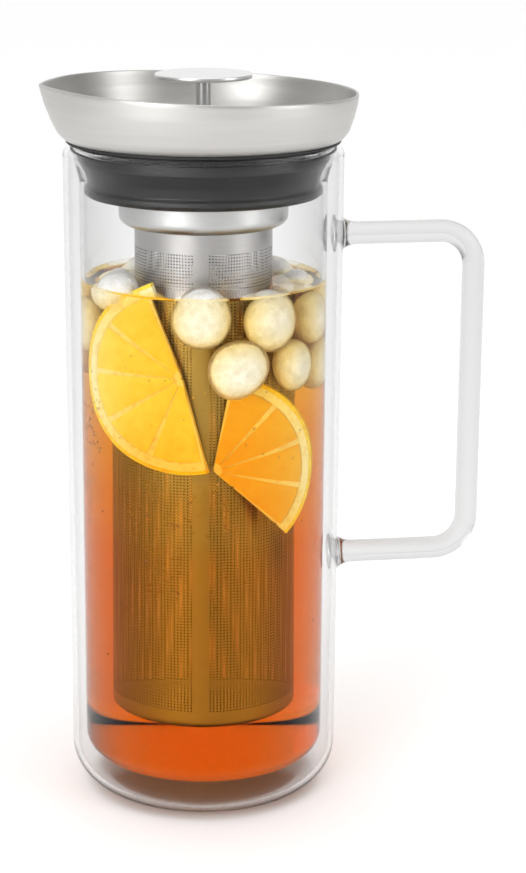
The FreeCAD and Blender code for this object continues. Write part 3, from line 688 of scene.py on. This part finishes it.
# Ice balls.
# Ice with a cloudy white heart inside a frosted clear skin, packed between the infuser and
# the glass at the top of the drink, with the upper ones floating out of it.
ice = see_through("ice_skin", shadow_tint=(0.97, 0.97, 0.97, 1.0), Base_Color=(1.0, 1.0, 1.0, 1.0),
                  Roughness=0.4, IOR=1.2, Transmission_Weight=0.85)
frost = ice.node_tree.nodes.new("ShaderNodeTexNoise")
frost.inputs["Scale"].default_value = 300.0
frost_place = ice.node_tree.nodes.new("ShaderNodeTexCoord")
ice.node_tree.links.new(frost_place.outputs["Object"], frost.inputs["Vector"])
frost_bump = ice.node_tree.nodes.new("ShaderNodeBump")
frost_bump.inputs["Distance"].default_value = 0.0012
ice.node_tree.links.new(frost.outputs["Fac"], frost_bump.inputs["Height"])
ice_shader = ice.node_tree.nodes["Principled BSDF"]
ice.node_tree.links.new(frost_bump.outputs["Normal"], ice_shader.inputs["Normal"])
heart, heart_tree, heart_output = new_material("cloudy_ice")
heart_shader = principled(heart_tree, heart_output, Roughness=0.9)
heart_place = heart_tree.nodes.new("ShaderNodeTexCoord")
heart_veins = heart_tree.nodes.new("ShaderNodeTexNoise")
heart_veins.inputs["Scale"].default_value = 320.0
heart_tree.links.new(heart_place.outputs["Object"], heart_veins.inputs["Vector"])
heart_tones = heart_tree.nodes.new("ShaderNodeValToRGB")
heart_tones.color_ramp.elements[0].position = 0.3
heart_tones.color_ramp.elements[0].color = (0.8, 0.77, 0.66, 1.0)
heart_tones.color_ramp.elements[1].position = 0.6
heart_tones.color_ramp.elements[1].color = (1.0, 1.0, 0.99, 1.0)
heart_tree.links.new(heart_veins.outputs["Fac"], heart_tones.inputs["Fac"])
heart_tree.links.new(heart_tones.outputs["Color"], heart_shader.inputs["Base Color"])
heart_bump = heart_tree.nodes.new("ShaderNodeBump")
heart_bump.inputs["Distance"].default_value = 0.0012
heart_tree.links.new(heart_veins.outputs["Fac"], heart_bump.inputs["Height"])
heart_tree.links.new(heart_bump.outputs["Normal"], heart_shader.inputs["Normal"])
ICE_BALLS = (
    # turn from the camera's side, ring radius, height, half width, half depth, half height
    (-1.0, 37.3, 202.8, 10.9, 9.0, 12.0),
    (38.5, 37.3, 200.4, 10.7, 9.0, 12.0),
    (19.0, 39.4, 183.3, 11.3, 7.2, 12.4),
    (56.5, 37.3, 181.0, 9.2, 9.0, 10.2),
    (78.0, 37.3, 198.0, 10.0, 9.0, 11.0),
    (-88.0, 37.3, 193.0, 10.0, 9.0, 11.5),
    (-62.0, 36.8, 209.5, 9.5, 8.6, 7.5),
    (-112.0, 37.3, 203.0, 11.0, 9.0, 10.0),
    (100.0, 37.3, 203.5, 11.0, 9.0, 10.5),
    (-138.0, 37.3, 205.0, 11.5, 9.0, 10.0),
    (131.0, 37.3, 204.5, 11.5, 9.0, 10.5),
    (-168.0, 37.3, 203.0, 11.5, 9.0, 11.0),
    (160.0, 37.3, 202.0, 11.0, 9.0, 11.0),
    (88.0, 37.3, 177.0, 10.5, 9.0, 10.5),
    (-120.0, 37.3, 180.0, 11.0, 9.0, 11.0),
    (125.0, 37.3, 181.0, 11.0, 9.0, 11.0),
    (178.0, 37.3, 179.0, 11.0, 9.0, 11.0),
)
SWELLING, HEART_SHARE = 1.05, 0.86
CAMERA_SIDE = -math.pi / 2 - HANDLE_TURN
dice = random.Random(7)
for number, ball_sizes in enumerate(ICE_BALLS, start=1):
    direction, ring, height, half_width, half_depth, half_height = ball_sizes
    grid = bmesh.new()
    bmesh.ops.create_icosphere(grid, subdivisions=4, radius=1.0)
    lobes = [
        (Vector([dice.uniform(-1, 1) for _ in range(3)]).normalized(), dice.uniform(0.03, 0.12))
        for _ in range(6)]
    turn = CAMERA_SIDE + math.radians(direction)
    out = Vector((math.cos(turn), math.sin(turn), 0))
    side = Vector((-math.sin(turn), math.cos(turn), 0))
    up = Vector((0, 0, 1))
    for vert in grid.verts:
        dent = 1.0 - sum(depth * max(0.0, vert.co.dot(way)) ** 3 for way, depth in lobes)
        vert.co = (out * (ring + vert.co.x * half_depth * dent)
                   + side * vert.co.y * half_width * SWELLING * dent
                   + up * (height + vert.co.z * half_height * SWELLING * dent)) * MM
    middle = (out * ring + up * height) * MM
    for part, material, share in (("ball", ice, 1.0), ("heart", heart, HEART_SHARE)):
        for vert in grid.verts:
            vert.co = middle + (vert.co - middle) * share
        ball = bpy.data.meshes.new(f"ice_{part}_{number:02d}")
        grid.to_mesh(ball)
        add_mesh(f"ice_{part}_{number:02d}", shade(ball), material, "jug", "ice")
    grid.free()

# Lemon slices.
# Two half wheels of lemon, cut about 3 mm thick, stand on edge between the infuser and the
# glass. Each has a yellow rind, a pale pith and juicy segments parted by thin skins.
LEMON, RIND, PITH, SLICE = 38.3, 1.4, 3.2, 3.2
BEND_START, BEND_RATE = 20.0, 0.013


def lemon_flesh(name, low, high):
    """Wet translucent flesh with fine sacs, between a darker and a lighter tone."""
    material, tree, output = new_material(name)
    shader = principled(tree, output, Roughness=0.28, Subsurface_Weight=0.25)
    shader.inputs["Subsurface Radius"].default_value = (0.006, 0.004, 0.001)
    place = tree.nodes.new("ShaderNodeTexCoord")
    sacs = tree.nodes.new("ShaderNodeTexNoise")
    sacs.inputs["Scale"].default_value = 260.0
    tree.links.new(place.outputs["Object"], sacs.inputs["Vector"])
    ramp = tree.nodes.new("ShaderNodeValToRGB")
    ramp.color_ramp.elements[0].color = low
    ramp.color_ramp.elements[1].color = high
    tree.links.new(sacs.outputs["Fac"], ramp.inputs["Fac"])
    tree.links.new(ramp.outputs["Color"], shader.inputs["Base Color"])
    bump = tree.nodes.new("ShaderNodeBump")
    bump.inputs["Strength"].default_value = 0.3
    bump.inputs["Distance"].default_value = 0.0004
    tree.links.new(sacs.outputs["Fac"], bump.inputs["Height"])
    tree.links.new(bump.outputs["Normal"], shader.inputs["Normal"])
    return material


def speckled(name, tone, spots, scale):
    """Wet peel with small darker specks."""
    material, tree, output = new_material(name)
    shader = principled(tree, output, Roughness=0.4)
    place = tree.nodes.new("ShaderNodeTexCoord")
    noise = tree.nodes.new("ShaderNodeTexNoise")
    noise.inputs["Scale"].default_value = scale
    tree.links.new(place.outputs["Object"], noise.inputs["Vector"])
    ramp = tree.nodes.new("ShaderNodeValToRGB")
    ramp.color_ramp.elements[0].position = 0.35
    ramp.color_ramp.elements[0].color = spots
    ramp.color_ramp.elements[1].position = 0.5
    ramp.color_ramp.elements[1].color = tone
    tree.links.new(noise.outputs["Fac"], ramp.inputs["Fac"])
    tree.links.new(ramp.outputs["Color"], shader.inputs["Base Color"])
    bump = tree.nodes.new("ShaderNodeBump")
    bump.inputs["Distance"].default_value = 0.0003
    bump.inputs["Strength"].default_value = 0.3
    tree.links.new(noise.outputs["Fac"], bump.inputs["Height"])
    tree.links.new(bump.outputs["Normal"], shader.inputs["Normal"])
    return material


light_flesh = lemon_flesh("light_lemon_flesh", (0.96, 0.7, 0.02, 1.0), (1.0, 0.93, 0.22, 1.0))
deep_flesh = lemon_flesh("deep_lemon_flesh", (0.85, 0.46, 0.01, 1.0), (0.95, 0.68, 0.05, 1.0))
rind = speckled("lemon_rind", (0.98, 0.75, 0.03, 1.0), (0.9, 0.55, 0.02, 1.0), 500.0)
pith = speckled("lemon_pith", (0.98, 0.92, 0.55, 1.0), (0.92, 0.76, 0.34, 1.0), 420.0)


def sector(grid, inner, outer, start, end, front, back, bulge=0.0, steps=14):
    """A slab between two radii and two angles, with its front face bulged a little."""
    rows = [inner + (outer - inner) * i / 3 for i in range(4)]
    layers = []
    for depth, sign in ((front, 1.0), (back, -1.0)):
        layer = []
        for i, radius in enumerate(rows):
            swell = bulge * math.sin(math.pi * i / 3)
            layer.append([grid.verts.new((
                radius * math.cos(start + (end - start) * k / steps),
                radius * math.sin(start + (end - start) * k / steps),
                depth + sign * swell * math.sin(math.pi * k / steps))) for k in range(steps + 1)])
        layers.append(layer)
    near, far = layers
    for i in range(3):
        for k in range(steps):
            grid.faces.new((near[i][k], near[i + 1][k], near[i + 1][k + 1], near[i][k + 1]))
            grid.faces.new((far[i][k], far[i][k + 1], far[i + 1][k + 1], far[i + 1][k]))
    for i in range(3):
        grid.faces.new((near[i][0], far[i][0], far[i + 1][0], near[i + 1][0]))
        grid.faces.new((near[i][-1], near[i + 1][-1], far[i + 1][-1], far[i][-1]))
    for k in range(steps):
        grid.faces.new((near[0][k], near[0][k + 1], far[0][k + 1], far[0][k]))
        grid.faces.new((near[3][k], far[3][k], far[3][k + 1], near[3][k + 1]))


def lemon_piece(name, material, place, build):
    """One material's share of a slice, built flat in mm and then set in the jug."""
    grid = bmesh.new()
    build(grid)
    mesh = bpy.data.meshes.new(name)
    for vert in grid.verts:
        vert.co = place(vert.co) * MM
    grid.to_mesh(mesh)
    grid.free()
    add_mesh(name, shade(mesh, 40.0), material, "jug", "citrus")


def half_wheel(name, turn, distance, shift, height, first, last, segments, flesh):
    """Part of a lemon wheel: rind and pith round the outside, then the segments.

    It faces a direction turned from the camera's side, at a distance from the jug's axis,
    and its sides bend back where the glass presses on them.
    """
    facing = CAMERA_SIDE + math.radians(turn)
    out, up = Vector((math.cos(facing), math.sin(facing), 0.0)), Vector((0.0, 0.0, 1.0))
    across = up.cross(out)

    def place(point):
        aside = point.x + shift
        bend = BEND_RATE * max(0.0, abs(aside) - BEND_START) ** 2
        return out * (distance + point.z - bend) + across * aside + up * (height + point.y)

    start, end = math.radians(first), math.radians(last)
    lemon_piece(name + "_rind", rind, place, lambda grid: sector(
        grid, LEMON - RIND, LEMON, start, end, SLICE / 2, -SLICE / 2, 0.0, 48))
    lemon_piece(name + "_pith", pith, place, lambda grid: sector(
        grid, LEMON - RIND - PITH, LEMON - RIND, start, end, SLICE / 2 - 0.1, 0.1 - SLICE / 2, 0.0, 48))
    lemon_piece(name + "_skins", pith, place, lambda grid: sector(
        grid, 0.4, LEMON - RIND - PITH, start, end, SLICE / 2 - 0.6, 0.6 - SLICE / 2, 0.0, 48))

    def flesh_parts(grid):
        step = (end - start) / segments
        for i in range(segments):
            gap = math.radians(2.0)
            sector(grid, 3.2, LEMON - RIND - PITH - 0.4,
                   start + i * step + gap, start + (i + 1) * step - gap,
                   SLICE / 2 - 0.2, 0.2 - SLICE / 2, 0.35)
    lemon_piece(name + "_flesh", flesh, place, flesh_parts)


half_wheel("lemon_left", -16.5, 30.6, 1.5, 178.5, 110.0, 284.0, 5, light_flesh)
half_wheel("lemon_right", 6.5, 29.1, 0.0, 141.5, -45.0, 80.0, 4, deep_flesh)

# Bubbles.
# Fine air bubbles that cling to the inner glass.
air = see_through("air_bubbles", shadow_tint=(1.0, 1.0, 1.0, 1.0), Base_Color=(1.0, 1.0, 1.0, 1.0),
                  Roughness=0.0, IOR=0.752, Transmission_Weight=1.0)
BUBBLE_PATCHES = (
    # number, turn from the camera's side, its spread, lowest and highest place
    (60, -68.0, 12.0, 148.0, 168.0),
    (110, -12.0, 26.0, 118.0, 140.0),
    (70, -20.0, 9.0, 92.0, 116.0),
    (60, 0.0, 75.0, 60.0, 196.0),
)
grid = bmesh.new()
for number, turn, spread, low, high in BUBBLE_PATCHES:
    for _ in range(number):
        size = dice.uniform(0.25, 0.6)
        angle = CAMERA_SIDE + math.radians(turn + dice.uniform(-spread, spread))
        away = BORE - 0.2 - size
        spot = Matrix.Translation((away * math.cos(angle), away * math.sin(angle), dice.uniform(low, high)))
        bmesh.ops.create_icosphere(grid, subdivisions=2, radius=size, matrix=spot)
bubble_mesh = bpy.data.meshes.new("bubbles")
bmesh.ops.scale(grid, vec=(MM, MM, MM), verts=grid.verts)
grid.to_mesh(bubble_mesh)
grid.free()
add_mesh("bubbles", shade(bubble_mesh), air, "jug", "iced_tea")
